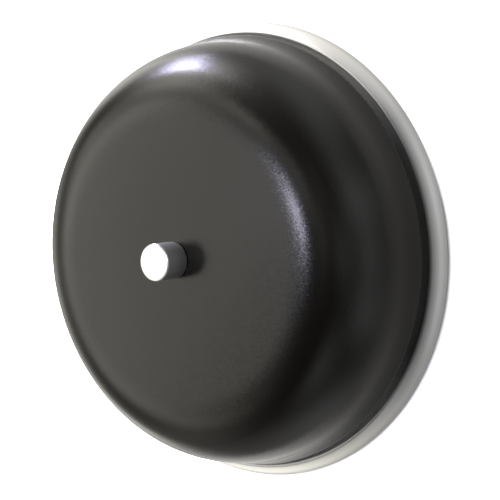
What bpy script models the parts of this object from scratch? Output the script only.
"""Wall-mounted fire alarm bell with a six inch gong and an under-dome striker.

The origin is the centre of the round base where it meets the wall. +Z is up,
+X is to the right and the gong faces -Y. Sizes are in millimetres. Heights in
front of the wall are called "h", so y = -h. Radii end in _R, and pairs are
(low, high) unless a comment says otherwise.
"""

import math

import bmesh
import bpy
import numpy
from mathutils import Matrix, Vector

MM = 0.001
GAP = 0.3  # clearance between neighbouring pieces

# ---------------------------------------------------------- shared dimensions
GONG_THICKNESS = 1.6
GONG_FRONT_H = 41.2  # front face of the gong at its centre

BASE_FRONT_H = 5.0
BASE_SHEET = 1.6
BASE_INNER_H = BASE_FRONT_H - BASE_SHEET
BASE_GROOVE_H = 3.4  # front of the groove's floor
BASE_GROOVE_BACK_H = BASE_GROOVE_H - BASE_SHEET
BASE_STEPS = 60
CABLE_HOLE_R = 6.0
CABLE_HOLE_Z = 52.0

POST_SHOULDER_H = 37.8
POST_THREAD_R = 3.0
POST_THREAD_END_H = 47.8
POST_TAIL_R = 4.0

CHASSIS_H = (5.3, 6.8)
GUIDE_TAB_Z = (-59.3, -57.8)
SCREW_HOLE_R = 1.75
CHASSIS_SCREWS = {  # (x, z)
    "chassis_screw_left": (-16.5, -38.0),
    "chassis_screw_right": (16.5, -38.0),
    "chassis_screw_top": (15.0, -14.0),
}
BOARD_FIXINGS = {"left": (-17.5, 22.0), "right": (17.5, 22.0)}  # (x, z)

SOLENOID_H = 19.0  # height of the striker's axis in front of the wall
ON_ROD = {"at": (0, SOLENOID_H, 0), "axis": "up"}
ROD_R = 1.5
BORE_R = ROD_R + GAP
GUIDE_BORE_R = 3.3  # holes for the lower bearings in the yoke and guide tab
CORE_R = 3.9
SPRING_Z = (-56.6, -49.5)

# ---------------------------------------------------------------- empty scene
for old in list(bpy.data.objects):
    bpy.data.objects.remove(old, do_unlink=True)

PARTS = bpy.data.collections.new("fire_alarm_bell")
CUTTERS = bpy.data.collections.new("cutters")
for collection in (PARTS, CUTTERS):
    bpy.context.scene.collection.children.link(collection)

# ------------------------------------------------------------------ materials
FINISHES = {  # base colour, roughness, metallic
    "gong_paint": ((0.030, 0.028, 0.025), 0.38, 0.0),
    "satin_silver": ((0.72, 0.72, 0.73), 0.32, 1.0),
    "zinc_steel": ((0.55, 0.56, 0.58), 0.35, 1.0),
    "plain_steel": ((0.40, 0.41, 0.43), 0.40, 1.0),
    "brass": ((0.72, 0.55, 0.25), 0.30, 1.0),
    "copper_wire": ((0.62, 0.30, 0.14), 0.35, 1.0),
    "silver_contact": ((0.80, 0.80, 0.78), 0.25, 1.0),
    "black_rubber": ((0.020, 0.020, 0.020), 0.80, 0.0),
    "black_nylon": ((0.030, 0.030, 0.032), 0.50, 0.0),
    "white_nylon": ((0.75, 0.74, 0.70), 0.50, 0.0),
    "red_fibre": ((0.28, 0.05, 0.03), 0.70, 0.0),
    "board_green": ((0.03, 0.18, 0.08), 0.45, 0.0),
    "terminal_grey": ((0.10, 0.28, 0.16), 0.45, 0.0),
    "capacitor_yellow": ((0.62, 0.42, 0.06), 0.40, 0.0),
    "lead_red": ((0.50, 0.02, 0.02), 0.45, 0.0),
    "lead_black": ((0.02, 0.02, 0.02), 0.45, 0.0),
}


def give_finish(obj, finish):
    """Gives a part its own material."""
    colour, roughness, metallic = FINISHES[finish]
    mat = bpy.data.materials.new(f"{obj.name}_{finish}")
    mat.use_nodes = True
    shader = mat.node_tree.nodes["Principled BSDF"]
    shader.inputs["Base Color"].default_value = (*colour, 1.0)
    shader.inputs["Roughness"].default_value = roughness
    shader.inputs["Metallic"].default_value = metallic
    mat.diffuse_color = (*colour, 1.0)
    obj.data.materials.append(mat)


# -------------------------------------------------------------------- helpers
AXES = {  # local +Z becomes this direction
    "front": Matrix.Rotation(math.radians(90), 4, "X"),  # -Y
    "up": Matrix.Identity(4),  # +Z
}


def file_away(obj, finish):
    """Links an object under the parts, or under the cutters without a finish."""
    if finish is None:
        CUTTERS.objects.link(obj)
        obj.hide_render = True
        obj.display_type = "WIRE"
    else:
        PARTS.objects.link(obj)
        give_finish(obj, finish)
    return obj


def add(name, data, finish=None):
    return file_away(bpy.data.objects.new(name, data), finish)


def place(obj, at, axis):
    """Puts an object's origin at (x, h, z) with its local Z along an axis."""
    x, height, z = at
    obj.matrix_world = Matrix.Translation((x * MM, -height * MM, z * MM)) @ AXES[axis]
    return obj


def turned(name, outline, finish, at=(0, 0, 0), axis="front", steps=20):
    """Turns an outline of (radius, height along the axis) about its local Z.

    The outline runs down its outer side, from top to bottom. It starts and
    ends on the axis, or stays off it and closes into a ring.
    """
    verts = [(radius * MM, 0.0, height * MM) for radius, height in outline]
    edges = [(i, i + 1) for i in range(len(verts) - 1)]
    if outline[0][0] > 0:
        edges.append((len(verts) - 1, 0))
    mesh = bpy.data.meshes.new(name)
    mesh.from_pydata(verts, edges, [])
    obj = add(name, mesh, finish)
    screw = obj.modifiers.new("turn", "SCREW")
    screw.axis = "Z"
    screw.angle = math.tau
    screw.steps = steps
    screw.render_steps = steps
    screw.use_merge_vertices = True
    screw.merge_threshold = 0.00001
    screw.use_smooth_shade = True
    return place(obj, at, axis)


def tube(name, inner_r, outer_r, span, finish, chamfer=0.0, **placing):
    """A tube over a span of its axis, its outer edges chamfered if asked."""
    low, high = span
    if chamfer > 0:
        side = [
            (outer_r - chamfer, high), (outer_r, high - chamfer),
            (outer_r, low + chamfer), (outer_r - chamfer, low),
        ]
    else:
        side = [(outer_r, high), (outer_r, low)]
    return turned(name, [(inner_r, high), *side, (inner_r, low)], finish, **placing)


def box(name, x, h, z, finish=None, bevel=0.0, segments=2):
    """A box over three (low, high) spans, scale applied, edges bevelled if asked."""
    bpy.ops.mesh.primitive_cube_add(size=1.0)
    obj = bpy.context.object
    for owner in list(obj.users_collection):
        owner.objects.unlink(obj)
    obj.name = name
    obj.data.name = name
    sizes = [(high - low) * MM for low, high in (x, h, z)]
    obj.data.transform(Matrix.Diagonal((*sizes, 1.0)))
    file_away(obj, finish)
    obj.location = (sum(x) / 2 * MM, -sum(h) / 2 * MM, sum(z) / 2 * MM)
    if bevel > 0:
        mod = obj.modifiers.new("edges", "BEVEL")
        mod.width = bevel * MM
        mod.segments = segments
        mod.limit_method = "ANGLE"
    return obj


def rod_cutter(name, radius, span, at, axis="front", steps=18):
    """A round helper over a span of its axis, closed at both ends."""
    low, high = span
    mesh = bpy.data.meshes.new(name)
    bm = bmesh.new()
    bmesh.ops.create_cone(
        bm, cap_ends=True, segments=steps, radius1=radius * MM, radius2=radius * MM,
        depth=(high - low) * MM,
        matrix=Matrix.Translation((0, 0, (low + high) / 2 * MM)),
    )
    bm.to_mesh(mesh)
    bm.free()
    return place(add(name, mesh), at, axis)


def combine(obj, operation, prefix, helpers):
    for helper in helpers:
        mod = obj.modifiers.new(prefix + helper.name, "BOOLEAN")
        mod.operation = operation
        mod.solver = "EXACT"
        mod.object = helper


def cut(obj, *cutters):
    combine(obj, "DIFFERENCE", "cut_", cutters)


def join(obj, *others):
    combine(obj, "UNION", "join_", others)


def round_wire(name, path, radius, finish):
    """A round wire along straight steps between points (x, h, z)."""
    curve = bpy.data.curves.new(name, "CURVE")
    curve.dimensions = "3D"
    curve.bevel_depth = radius * MM
    curve.bevel_resolution = 1
    curve.use_fill_caps = True
    curve.render_resolution_u = 0
    spline = curve.splines.new("POLY")
    spline.points.add(len(path) - 1)
    for point, (x, height, z) in zip(spline.points, path):
        point.co = (x * MM, -height * MM, z * MM, 1)
    add(name, curve, finish)


def inset_line(points, inset):
    """Moves points (radius, height, tilt) inwards, square to the surface."""
    return [
        (radius - inset * math.sin(tilt), height - inset * math.cos(tilt))
        for radius, height, tilt in points
    ]


def radius_at(line, height):
    """Radius where a line of (radius, height) first falls through a height."""
    for (radius_0, height_0), (radius_1, height_1) in zip(line, line[1:]):
        if height_0 >= height >= height_1 and height_0 > height_1:
            part = (height_0 - height) / (height_0 - height_1)
            return radius_0 + (radius_1 - radius_0) * part
    raise ValueError("the line does not reach this height")


# ----------------------------------------------------------------------- gong
GONG_CROWN_R = 1500.0  # the front face is almost flat
GONG_FLAT_R = 51.0  # radius where the front face turns into the shoulder
GONG_SHOULDER_R = (19.3, 28.3)  # two tangent arcs form the shoulder
GONG_SHOULDER_TILT = (42.2, 82.3)  # surface tilt at the end of each arc, degrees
GONG_WAIST_LENGTH = 2.7
GONG_RIM_TILT = 64.0  # degrees, the skirt flares out towards the rim
GONG_RIM_H = 8.4
GONG_RIM_EDGE = ((-0.12, 0.12), (-0.35, -0.15))  # (radius, height) from the rim's corner
GONG_HOLE_R = 3.3
GONG_STEPS = 56


def extend_arc(points, bend_r, end_tilt, count):
    """Adds steps of equal arc length, each at the tilt of its middle."""
    radius, height, start = points[-1]
    turn = end_tilt - start
    step = bend_r * abs(turn) / count
    for i in range(count):
        middle = start + turn * (i + 0.5) / count
        radius += step * math.cos(middle)
        height -= step * math.sin(middle)
        points.append((radius, height, start + turn * (i + 1) / count))


def gong_line(inset=0.0):
    """Points (radius, height) from the gong's centre to its rim."""
    points = [(0.0, GONG_FRONT_H, 0.0)]
    shoulder_tilt, waist_tilt = (math.radians(tilt) for tilt in GONG_SHOULDER_TILT)
    extend_arc(points, GONG_CROWN_R, GONG_FLAT_R / GONG_CROWN_R, 1)
    extend_arc(points, GONG_SHOULDER_R[0], shoulder_tilt, 3)
    extend_arc(points, GONG_SHOULDER_R[1], waist_tilt, 4)
    radius, height, _ = points[-1]
    radius += GONG_WAIST_LENGTH * math.cos(waist_tilt)
    height -= GONG_WAIST_LENGTH * math.sin(waist_tilt)
    points.append((radius, height, waist_tilt))
    rim_tilt = math.radians(GONG_RIM_TILT)
    flare_r = (height - GONG_RIM_H) / (math.cos(rim_tilt) - math.cos(waist_tilt))
    extend_arc(points, flare_r, rim_tilt, 3)
    return inset_line(points, inset)


def make_gong():
    outer = gong_line()
    inner = gong_line(GONG_THICKNESS)
    for line in (outer, inner):
        line[0] = (GONG_HOLE_R, line[0][1])
    rim_r, rim_h = outer.pop()
    edge = [(rim_r + out, rim_h + forward) for out, forward in GONG_RIM_EDGE]
    turned("gong", outer + edge + inner[::-1], "gong_paint", steps=GONG_STEPS)


# ------------------------------------------------------- centre post and stud
POST_R = 4.5
POST_FLANGE_R = 9.0
LOCKNUT_FLATS = 13.0  # across flats
LOCKNUT_H = (0.8, BASE_INNER_H - GAP)
STUD_R = 6.17
STUD_FACE_H = 50.8
STUD_BASE_H = GONG_FRONT_H + GAP
STUD_CHAMFER = 0.35


def make_centre_post():
    """Post whose tail ends flush with the wall.

    Tightening the stud therefore cannot dish the base.
    """
    outline = [
        (0, POST_THREAD_END_H), (POST_THREAD_R - 0.5, POST_THREAD_END_H),
        (POST_THREAD_R, POST_THREAD_END_H - 0.5), (POST_THREAD_R, POST_SHOULDER_H),
        (POST_R, POST_SHOULDER_H), (POST_R, 7.6), (POST_FLANGE_R, 7.2),
        (POST_FLANGE_R, BASE_FRONT_H + GAP), (POST_TAIL_R, BASE_FRONT_H + GAP),
        (POST_TAIL_R, 0.4), (POST_TAIL_R - 0.4, 0.0), (0, 0.0),
    ]
    turned("centre_post", outline, "zinc_steel", steps=24)


def make_post_locknut():
    """Hexagon nut from a flat outline with a round hole, extruded."""
    low, high = LOCKNUT_H
    curve = bpy.data.curves.new("post_locknut", "CURVE")
    curve.dimensions = "2D"
    curve.fill_mode = "BOTH"
    curve.extrude = (high - low) / 2 * MM
    corner_r = LOCKNUT_FLATS / math.sqrt(3)
    for count, radius, turn in ((6, corner_r, math.pi / 6), (24, POST_TAIL_R + GAP, 0.0)):
        spline = curve.splines.new("POLY")
        spline.points.add(count - 1)
        for i, point in enumerate(spline.points):
            angle = turn + math.tau * i / count
            point.co = (radius * math.cos(angle) * MM, radius * math.sin(angle) * MM, 0, 1)
        spline.use_cyclic_u = True
    nut = add("post_locknut", curve, "zinc_steel")
    place(nut, (0, (low + high) / 2, 0), "front")


def make_gong_seat_washer():
    span = (POST_SHOULDER_H + GAP, GONG_FRONT_H - GONG_THICKNESS - GAP)
    tube("gong_seat_washer", POST_THREAD_R + GAP, 9.0, span, "red_fibre", steps=24)


def make_gong_nut():
    """Round stud in front of the gong, hollow behind for the post's thread."""
    outline = [
        (0, STUD_FACE_H), (STUD_R - STUD_CHAMFER, STUD_FACE_H),
        (STUD_R, STUD_FACE_H - STUD_CHAMFER), (STUD_R, STUD_BASE_H + 0.2),
        (STUD_R - 0.2, STUD_BASE_H), (POST_THREAD_R + GAP, STUD_BASE_H),
        (POST_THREAD_R + GAP, POST_THREAD_END_H + GAP), (0, POST_THREAD_END_H + 1.2),
    ]
    turned("gong_nut", outline, "satin_silver", steps=32)


# ----------------------------------------------------------------- back plate
BASE_OUTER_R = 79.8
BASE_LIP_H = 0.35
BASE_BEND_R = 1.2  # radius of the bend from the rim bead into the bevel
BASE_BEVEL_R = 17.9  # the bevel steepens a little on this large radius
BASE_BEVEL_TILT = (47.0, 62.0)  # degrees
BASE_BEVEL_END_R = 79.55
BEVEL_ARC_STEPS = 3
BASE_GROOVE_R = (70.9, 72.1, 74.95, 75.75)  # ring groove, from inside to outside
GROOVE_BACK_SHIFT = 0.7  # the inner slope sits this much further in at the back
WALL_EDGE_SHIFT = 0.05
BEAD_DROP = 0.1
PAD_R = 7.0
PAD_RISE = 0.8  # how far the pads reach into the sheet
PAD_PITCH = 42.4  # wall fixing pads sit at (+-pitch, +-pitch)
WALL_HOLE_R = 2.6
BASE_CUT_H = (-2.0, 9.0)


def bevel_line(inset=0.0):
    """Bevelled edge of the base, from the rim bead down to the lip."""
    points = [(0.0, BASE_FRONT_H, 0.0)]
    for bend_r, degrees in zip((BASE_BEND_R, BASE_BEVEL_R), BASE_BEVEL_TILT):
        radius, height, start = points[-1]
        for i in range(1, BEVEL_ARC_STEPS + 1):
            tilt = start + (math.radians(degrees) - start) * i / BEVEL_ARC_STEPS
            points.append((
                radius + bend_r * (math.sin(tilt) - math.sin(start)),
                height - bend_r * (math.cos(start) - math.cos(tilt)),
                tilt,
            ))
    shift = BASE_BEVEL_END_R - points[-1][0]
    points = [(radius + shift, height, tilt) for radius, height, tilt in points]
    return inset_line(points, inset)


def base_outline():
    bevel_back = bevel_line(BASE_SHEET)
    inner_edge = [(radius_at(bevel_back, BASE_GROOVE_BACK_H), BASE_GROOVE_BACK_H)]
    inner_edge += [point for point in bevel_back if point[1] < BASE_GROOVE_BACK_H]
    slope_top, floor_inner, floor_outer, bead = BASE_GROOVE_R
    return [
        (POST_TAIL_R + GAP, BASE_FRONT_H), (slope_top, BASE_FRONT_H),
        (floor_inner, BASE_GROOVE_H), (floor_outer, BASE_GROOVE_H),
        (bead, BASE_FRONT_H - BEAD_DROP),
        *bevel_line(),
        (BASE_OUTER_R, BASE_LIP_H), (BASE_OUTER_R, 0.0),
        (inner_edge[-1][0] + WALL_EDGE_SHIFT, 0.0),
        *inner_edge[::-1],
        (floor_inner - GROOVE_BACK_SHIFT, BASE_GROOVE_BACK_H),
        (slope_top - GROOVE_BACK_SHIFT, BASE_INNER_H),
        (POST_TAIL_R + GAP, BASE_INNER_H),
    ]


def make_back_plate():
    plate = turned("back_plate", base_outline(), "satin_silver", steps=BASE_STEPS)
    corners = [
        (side_x * PAD_PITCH, 0, side_z * PAD_PITCH)
        for side_x, side_z in ((-1, 1), (1, 1), (1, -1), (-1, -1))
    ]
    pad_span = (0.0, BASE_INNER_H + PAD_RISE)
    for i, at in enumerate(corners):
        join(plate, rod_cutter(f"wall_pad_{i}", PAD_R, pad_span, at, steps=20))
    for i, at in enumerate(corners):
        cut(plate, rod_cutter(f"wall_hole_{i}", WALL_HOLE_R, BASE_CUT_H, at))
    cut(plate, rod_cutter("cable_hole", CABLE_HOLE_R, BASE_CUT_H, (0, 0, CABLE_HOLE_Z), steps=20))
    for i, (x, z) in enumerate([*CHASSIS_SCREWS.values(), *BOARD_FIXINGS.values()]):
        cut(plate, rod_cutter(f"fixing_hole_{i}", SCREW_HOLE_R, BASE_CUT_H, (x, 0, z), steps=12))


def make_wall_gasket():
    """Rubber ring behind the groove."""
    span = (0.3, BASE_GROOVE_BACK_H - GAP)
    tube("wall_gasket", 71.8, 75.6, span, "black_rubber", steps=BASE_STEPS)


def make_cable_grommet():
    outline = [
        (4.0, 6.6), (7.4, 6.6), (8.0, 6.0), (8.0, BASE_FRONT_H + GAP),
        (CABLE_HOLE_R - GAP, BASE_FRONT_H + GAP), (CABLE_HOLE_R - GAP, BASE_INNER_H - GAP),
        (8.0, BASE_INNER_H - GAP), (8.0, 2.2), (7.4, 1.6), (4.0, 1.6),
    ]
    turned("cable_grommet", outline, "black_rubber", at=(0, 0, CABLE_HOLE_Z))


# --------------------------------------------------------- chassis and screws
CHASSIS_X = (-28.0, 22.0)
CHASSIS_Z = (-59.3, -9.8)
GUIDE_TAB_H = (CHASSIS_H[0] + 0.4, 25.0)
GUIDE_TAB_X = (-7.0, 7.0)
SCREW_SHANK_R = 1.45
SCREW_HEAD_R = 2.8
SCREW_TIP_H = 1.2
SCREW_SLOT = (1.5, 0.32)  # half length and half width of each arm of the cross


def make_chassis():
    """Flat plate with a tab standing forward at its lower edge."""
    chassis = box("mechanism_chassis", CHASSIS_X, CHASSIS_H, CHASSIS_Z, "zinc_steel")
    join(chassis, box("guide_tab", GUIDE_TAB_X, GUIDE_TAB_H, GUIDE_TAB_Z))
    cut(chassis, rod_cutter("guide_hole", GUIDE_BORE_R, span=(-70.0, -50.0), **ON_ROD))
    for name, (x, z) in CHASSIS_SCREWS.items():
        cut(chassis, rod_cutter(name + "_hole", SCREW_HOLE_R, (0.0, 12.0), (x, 0, z), steps=12))


def pan_screw(name, at, head_h):
    """A cross-head pan screw at (x, z), its head seated at head_h."""
    x, z = at
    outline = [
        (0, head_h + 1.9), (SCREW_HEAD_R - 1.0, head_h + 1.8),
        (SCREW_HEAD_R - 0.2, head_h + 1.0), (SCREW_HEAD_R, head_h + 0.3),
        (SCREW_HEAD_R, head_h), (SCREW_SHANK_R, head_h),
        (SCREW_SHANK_R, SCREW_TIP_H + 0.6), (SCREW_SHANK_R - 0.5, SCREW_TIP_H), (0, SCREW_TIP_H),
    ]
    screw = turned(name, outline, "zinc_steel", at=(x, 0, z), steps=16)
    slot_h = (head_h + 0.9, head_h + 3.0)
    for i, (half_x, half_z) in enumerate((SCREW_SLOT, SCREW_SLOT[::-1])):
        slot_x, slot_z = (x - half_x, x + half_x), (z - half_z, z + half_z)
        cut(screw, box(f"{name}_slot_{i}", slot_x, slot_h, slot_z))


def make_chassis_screws():
    for name, at in CHASSIS_SCREWS.items():
        pan_screw(name, at, CHASSIS_H[1] + GAP)


# ------------------------------------------------------------------- solenoid
YOKE_SHEET = 1.6
YOKE_Z = (-44.9, -16.5)
YOKE_INNER_Z = (YOKE_Z[0] + YOKE_SHEET, YOKE_Z[1] - YOKE_SHEET)
YOKE_H = (7.1, 29.5)
YOKE_HALF_X = 9.0
YOKE_TOP_HOLE_R = 2.2
BOBBIN_Z = (-43.0, -18.4)
BOBBIN_BORE_R = 4.2
BOBBIN_TUBE_R = 5.2
BOBBIN_FLANGE_R = 10.0
BOBBIN_INNER_Z = (BOBBIN_Z[0] + 0.9, BOBBIN_Z[1] - 0.9)  # between the flanges
WINDING_R = 9.3
WINDING_ROWS = 5
WINDING_VALLEY = 0.3
POLE_FACE_Z = -36.0
CORE_Z = (-32.4, -20.1)


def make_yoke():
    """A bracket open to the front and both sides."""
    half_x = YOKE_HALF_X
    yoke = box("solenoid_yoke", (-half_x, half_x), YOKE_H, YOKE_Z, "plain_steel")
    window_h = (YOKE_H[0] + YOKE_SHEET, YOKE_H[1] + 5)
    cut(
        yoke,
        box("yoke_window", (-half_x - 2, half_x + 2), window_h, YOKE_INNER_Z),
        rod_cutter("yoke_top_hole", YOKE_TOP_HOLE_R, span=(-19.0, -15.0), **ON_ROD),
        rod_cutter("yoke_low_hole", GUIDE_BORE_R, span=(-46.0, -42.0), **ON_ROD),
    )


def make_coil_bobbin():
    low, high = BOBBIN_Z
    inner_low, inner_high = BOBBIN_INNER_Z
    outline = [
        (BOBBIN_BORE_R, high), (BOBBIN_FLANGE_R, high), (BOBBIN_FLANGE_R, inner_high),
        (BOBBIN_TUBE_R, inner_high), (BOBBIN_TUBE_R, inner_low),
        (BOBBIN_FLANGE_R, inner_low), (BOBBIN_FLANGE_R, low), (BOBBIN_BORE_R, low),
    ]
    turned("coil_bobbin", outline, "black_nylon", **ON_ROD, steps=24)


def make_coil_winding():
    """Copper sleeve with a ridge for each visible row."""
    low, high = BOBBIN_INNER_Z[0] + GAP, BOBBIN_INNER_Z[1] - GAP
    row = (low - high) / WINDING_ROWS
    valley_r = WINDING_R - WINDING_VALLEY
    outline = [(BOBBIN_TUBE_R + GAP, high)]
    for i in range(WINDING_ROWS):
        outline += [(valley_r, high + (i + 0.08) * row), (WINDING_R, high + (i + 0.5) * row)]
    outline += [(valley_r, low), (BOBBIN_TUBE_R + GAP, low)]
    turned("coil_winding", outline, "copper_wire", **ON_ROD, steps=24)


def make_fixed_pole():
    outline = [
        (BORE_R, POLE_FACE_Z), (CORE_R, POLE_FACE_Z), (CORE_R, YOKE_INNER_Z[0] + GAP),
        (3.0, YOKE_INNER_Z[0] + GAP), (3.0, YOKE_Z[0] - GAP), (4.6, YOKE_Z[0] - GAP),
        (4.6, -46.2), (4.2, -46.5), (BORE_R, -46.5),
    ]
    turned("fixed_pole", outline, "plain_steel", **ON_ROD)


def make_core_buffer():
    tube("core_buffer", 2.2, CORE_R, (CORE_Z[1] + GAP, -18.5), "black_rubber", **ON_ROD)


def make_guide_bush():
    """Bush in the guide tab, its flange under the return spring."""
    outline = [
        (BORE_R, SPRING_Z[0] - GAP), (4.4, SPRING_Z[0] - GAP), (4.4, GUIDE_TAB_Z[1] + GAP),
        (3.0, GUIDE_TAB_Z[1] + GAP), (3.0, -60.2), (BORE_R, -60.2),
    ]
    turned("guide_bush", outline, "white_nylon", **ON_ROD)


# ------------------------------------------------- striker, slides towards -Z
STRIKER_TRAVEL = 3.0
HEAD_R = 3.6
HEAD_NOSE_RISE = 2.4
HEAD_TOP_Z = -61.4
HEAD_BORE_END_Z = -64.3
NOSE_STEPS = 4
SPRING_MEAN_R = 3.0
SPRING_WIRE_R = 0.3
SPRING_TURNS = 5.5
SPRING_STEPS_PER_TURN = 12
SPRING_END_RISE = 0.09  # share of the height taken by each end turn
COLLARS = {  # outer radius, z span, finish
    "contact_collar": (2.9, (-10.7, -8.8), "black_nylon"),
    "plunger_core": (CORE_R, CORE_Z, "plain_steel"),
    "spring_collar": (4.2, (-49.2, -47.7), "brass"),
}


def make_striker_rod():
    outline = [
        (0, -7.4), (2.2, -7.4), (2.6, -7.8), (2.6, -8.5), (ROD_R, -8.5),
        (ROD_R, -63.7), (ROD_R - 0.3, -64.0), (0, -64.0),
    ]
    turned("striker_rod", outline, "plain_steel", **ON_ROD)


def make_collars():
    """The three sleeves that ride on the rod."""
    for name, (radius, span, finish) in COLLARS.items():
        tube(name, BORE_R, radius, span, finish, chamfer=0.3, **ON_ROD)


def make_striker_head():
    """Head whose nose stops one clearance short of the gong at full travel."""
    gong_r = radius_at(gong_line(GONG_THICKNESS), SOLENOID_H)
    nose_z = -(gong_r - STRIKER_TRAVEL - GAP)
    outline = [
        (0, HEAD_BORE_END_Z), (BORE_R, HEAD_BORE_END_Z), (BORE_R, HEAD_TOP_Z),
        (HEAD_R - 0.4, HEAD_TOP_Z), (HEAD_R, HEAD_TOP_Z - 0.4),
    ]
    for i in range(NOSE_STEPS):
        angle = math.radians(90) * i / NOSE_STEPS
        z = nose_z + HEAD_NOSE_RISE * (1 - math.sin(angle))
        outline.append((HEAD_R * math.cos(angle), z))
    outline.append((0, nose_z))
    turned("striker_head", outline, "brass", **ON_ROD)


def make_return_spring():
    """Compression spring between the collar on the rod and the guide bush."""
    low, high = SPRING_Z[0] + SPRING_WIRE_R, SPRING_Z[1] - SPRING_WIRE_R
    end = 1.0 / SPRING_TURNS
    steps = int(SPRING_TURNS * SPRING_STEPS_PER_TURN)
    path = []
    for i in range(steps + 1):
        part = i / steps
        angle = math.tau * SPRING_TURNS * part
        # the end turns lie almost flat, the middle turns are pitched
        fall = numpy.interp(
            part, (0, end, 1 - end, 1), (0, SPRING_END_RISE, 1 - SPRING_END_RISE, 1)
        )
        path.append((
            SPRING_MEAN_R * math.cos(angle),
            SOLENOID_H - SPRING_MEAN_R * math.sin(angle),
            high - fall * (high - low),
        ))
    round_wire("return_spring", path, SPRING_WIRE_R, "plain_steel")


# ------------------------------------------------ interrupter contact and arm
ARM_X = (-25.0, 1.5)
ARM_H = (15.5, 22.5)
ARM_Z = (-12.0, -11.0)
PIVOT_X = -14.0
PIVOT_Z = -11.5
PIVOT_AT = (PIVOT_X, 0, PIVOT_Z)
PIVOT_R = 1.0
BARREL_R = 2.1
FORK_HALF_H = 2.2
CONTACT_X = -23.0
ON_CONTACT = {"at": (CONTACT_X, SOLENOID_H, 0), "axis": "up"}
RIVET_HOLE_R = 1.0
STRIP_X = (-26.0, -20.0)
STRIP_BACK_H = 14.3
CONTACT_SCREW_AT = (CONTACT_X, 0, -20.5)
CONTACT_SCREW_HOLE_R = 1.4


def make_contact_pivot():
    outline = [
        (0, 24.6), (PIVOT_R - 0.2, 24.6), (PIVOT_R, 24.4), (PIVOT_R, 14.9), (1.9, 14.9),
        (1.9, 8.4), (2.6, 8.0), (2.6, CHASSIS_H[1] + GAP), (0, CHASSIS_H[1] + GAP),
    ]
    turned("contact_pivot_post", outline, "zinc_steel", at=PIVOT_AT)
    tube("pivot_clip", PIVOT_R + GAP, 2.5, (22.9, 23.5), "plain_steel", at=PIVOT_AT)


def make_contact_arm():
    """Arm on the pivot, its right end forked around the striker rod."""
    pivot = bpy.data.objects.new("contact_arm_pivot", None)
    PARTS.objects.link(pivot)
    pivot.location = (PIVOT_X * MM, -SOLENOID_H * MM, PIVOT_Z * MM)
    arm = box("contact_arm", ARM_X, ARM_H, ARM_Z, "brass")
    # the arm's own origin moves to its pivot
    arm.data.transform(Matrix.Translation(Vector(arm.location) - Vector(pivot.location)))
    arm.location = (0, 0, 0)
    arm.parent = pivot
    barrel_span = (ARM_H[0] + 0.05, ARM_H[1] - 0.05)
    join(arm, rod_cutter("arm_barrel", BARREL_R, barrel_span, PIVOT_AT, steps=24))
    fork_h = (SOLENOID_H - FORK_HALF_H, SOLENOID_H + FORK_HALF_H)
    rivet_span = (-15.0, -8.0)
    cut(
        arm,
        rod_cutter("arm_pivot_bore", PIVOT_R + GAP, (12.0, 26.0), PIVOT_AT, steps=20),
        rod_cutter("arm_fork_root", FORK_HALF_H, span=(-15.0, -8.0), **ON_ROD),
        box("arm_fork_mouth", (0.0, 6.0), fork_h, (-15.5, -7.5)),
        rod_cutter("arm_rivet_hole", RIVET_HOLE_R, rivet_span, **ON_CONTACT, steps=12),
    )


def make_contacts():
    """Moving contact riveted to the arm, above the fixed one on the strip."""
    moving = [
        (0, -10.1), (1.3, -10.1), (1.3, ARM_Z[1] + GAP), (0.7, ARM_Z[1] + GAP),
        (0.7, ARM_Z[0] - GAP), (1.6, ARM_Z[0] - GAP), (1.6, -13.1), (0, -13.1),
    ]
    fixed = [
        (0, -13.4), (1.6, -13.4), (1.6, -14.2), (0.7, -14.2),
        (0.7, -15.6), (1.3, -15.6), (1.3, -16.2), (0, -16.2),
    ]
    turned("moving_contact", moving, "silver_contact", **ON_CONTACT)
    turned("fixed_contact", fixed, "silver_contact", **ON_CONTACT)


def make_contact_strip():
    """Strip standing forward, with a foot that runs down from it."""
    strip = box("fixed_contact_strip", STRIP_X, (STRIP_BACK_H, 22.0), (-15.3, -14.5), "brass")
    join(strip, box("strip_foot", STRIP_X, (STRIP_BACK_H, 15.1), (-24.5, -14.9)))
    hole_r = CONTACT_SCREW_HOLE_R
    cut(
        strip,
        rod_cutter("strip_rivet_hole", RIVET_HOLE_R, (-18.0, -12.0), **ON_CONTACT, steps=12),
        rod_cutter("strip_screw_hole", hole_r, (12.0, 18.0), CONTACT_SCREW_AT, steps=12),
    )


def make_contact_insulator():
    insulator = box(
        "contact_insulator", x=(-26.8, -19.2), h=(CHASSIS_H[1] + GAP, 14.0), z=(-25.2, -16.6),
        finish="black_nylon", bevel=0.4,
    )
    hole_r = CONTACT_SCREW_HOLE_R
    cut(insulator, rod_cutter("insulator_bore", hole_r, (9.0, 18.0), CONTACT_SCREW_AT, steps=12))


def make_contact_screw():
    outline = [
        (0, 17.0), (1.8, 17.0), (2.1, 16.7), (2.1, 15.4), (1.1, 15.4), (1.1, 9.6), (0, 9.6),
    ]
    screw = turned("contact_screw", outline, "brass", at=CONTACT_SCREW_AT)
    slot_x = (CONTACT_X - 3, CONTACT_X + 3)
    cut(screw, box("contact_screw_slot", slot_x, h=(16.2, 18.0), z=(-20.8, -20.2)))


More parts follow.
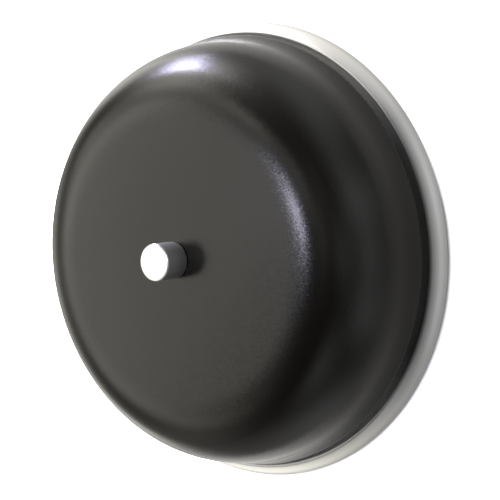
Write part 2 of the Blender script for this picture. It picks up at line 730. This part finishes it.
# ------------------------------------------------------------- terminal board
BOARD_X = (-21.0, 21.0)
BOARD_H = (9.9, 11.5)
BOARD_Z = (16.0, 42.0)
TERMINAL_X = (-14.2, 6.2)
TERMINAL_H = (11.8, 21.0)
TERMINAL_Z = (30.0, 39.5)
TERMINAL_XS = (-11.5, -6.5, -1.5, 3.5)
TERMINAL_SCREW_Z = 33.2
WELL_R = 2.0
ENTRY_HALF_X = 1.7
SLOT_HALF_X = 2.2
LEAD_R = 0.6
LEAD_STEPS = 4  # steps between neighbouring path points
LEADS = {  # finish, path points (x, h, z)
    "coil_lead_red": ("lead_red", [
        (10.3, 20.5, -17.6), (11.3, 20.5, -14.0), (12.6, 18.5, -7.0), (12.2, 15.5, 4.0),
        (10.5, 13.2, 12.0), (9.5, 12.5, 18.0), (9.5, 12.4, 21.0),
    ]),
    "contact_lead_black": ("lead_black", [
        (-25.0, 16.0, -22.8), (-28.2, 16.2, -18.0), (-28.0, 14.8, -8.0), (-22.0, 13.4, 4.0),
        (-15.0, 13.2, 12.0), (-12.5, 12.6, 18.0), (-12.3, 12.4, 22.0),
    ]),
}


def make_circuit_board():
    """Board with its two spacers and screws."""
    board = box("circuit_board", BOARD_X, BOARD_H, BOARD_Z, "board_green")
    spacer_span = (BASE_FRONT_H + GAP, BOARD_H[0] - GAP)
    for side, (x, z) in BOARD_FIXINGS.items():
        at = (x, 0, z)
        cut(board, rod_cutter(f"board_hole_{side}", SCREW_HOLE_R, (8.0, 14.0), at, steps=12))
        tube(
            f"board_spacer_{side}", SCREW_HOLE_R, 3.2, spacer_span, "zinc_steel", at=at, steps=18
        )
        pan_screw(f"board_screw_{side}", (x, z), BOARD_H[1] + GAP)


def make_terminal_screw(i, at):
    outline = [
        (0, 20.2), (1.45, 20.2), (1.7, 19.9), (1.7, 17.9), (1.1, 17.9), (1.1, 15.8), (0, 15.8),
    ]
    screw = turned(f"terminal_screw_{i + 1}", outline, "zinc_steel", at=at, steps=18)
    slot_x = (at[0] - SLOT_HALF_X, at[0] + SLOT_HALF_X)
    cut(screw, box(f"terminal_slot_{i}", slot_x, h=(19.2, 21.5), z=(32.9, 33.5)))


def make_terminals():
    """Block with a screw well and a wire entry, open upwards, per terminal."""
    block = box("terminal_block", TERMINAL_X, TERMINAL_H, TERMINAL_Z, "terminal_grey", bevel=0.35)
    for i, x in enumerate(TERMINAL_XS):
        at = (x, 0, TERMINAL_SCREW_Z)
        entry_x = (x - ENTRY_HALF_X, x + ENTRY_HALF_X)
        cut(
            block,
            rod_cutter(f"terminal_well_{i}", WELL_R, (15.5, 24.0), at),
            box(f"terminal_entry_{i}", entry_x, h=(13.0, 16.6), z=(36.6, 42.0)),
        )
        make_terminal_screw(i, at)


def make_capacitor():
    box(
        "suppression_capacitor", x=(-9.0, 1.0), h=(BOARD_H[1] + GAP, 18.6), z=(18.6, 24.4),
        finish="capacitor_yellow", bevel=0.8, segments=3,
    )


def make_diode():
    outline = [
        (0, 6.0), (0.4, 6.0), (0.4, 2.6), (1.1, 2.6), (1.35, 2.3),
        (1.35, -2.3), (1.1, -2.6), (0.4, -2.6), (0.4, -6.0), (0, -6.0),
    ]
    at = (9.5, 13.4, 30.0)
    turned("suppression_diode", outline, "black_nylon", at=at, axis="up", steps=18)


def smooth_path(points):
    """A Catmull-Rom path through the points."""
    knots = [Vector(point) for point in points]
    # the end points are doubled so that the path reaches them
    knots = [knots[0], *knots, knots[-1]]
    path = []
    for before, start, end, after in zip(knots, knots[1:], knots[2:], knots[3:]):
        for i in range(LEAD_STEPS):
            t = i / LEAD_STEPS
            path.append(0.5 * (
                2 * start + (end - before) * t
                + (2 * before - 5 * start + 4 * end - after) * t * t
                + (3 * start - before - 3 * end + after) * t ** 3
            ))
    return path + [knots[-1]]


def make_leads():
    for name, (finish, points) in LEADS.items():
        round_wire(name, smooth_path(points), LEAD_R, finish)


for make in (
    make_gong, make_centre_post, make_post_locknut, make_gong_seat_washer, make_gong_nut,
    make_back_plate, make_wall_gasket, make_cable_grommet, make_chassis, make_chassis_screws,
    make_yoke, make_coil_bobbin, make_coil_winding, make_fixed_pole, make_core_buffer,
    make_guide_bush, make_striker_rod, make_collars, make_striker_head, make_return_spring,
    make_contact_pivot, make_contact_arm, make_contacts, make_contact_strip,
    make_contact_insulator, make_contact_screw, make_circuit_board, make_terminals,
    make_capacitor, make_diode, make_leads,
):
    make()
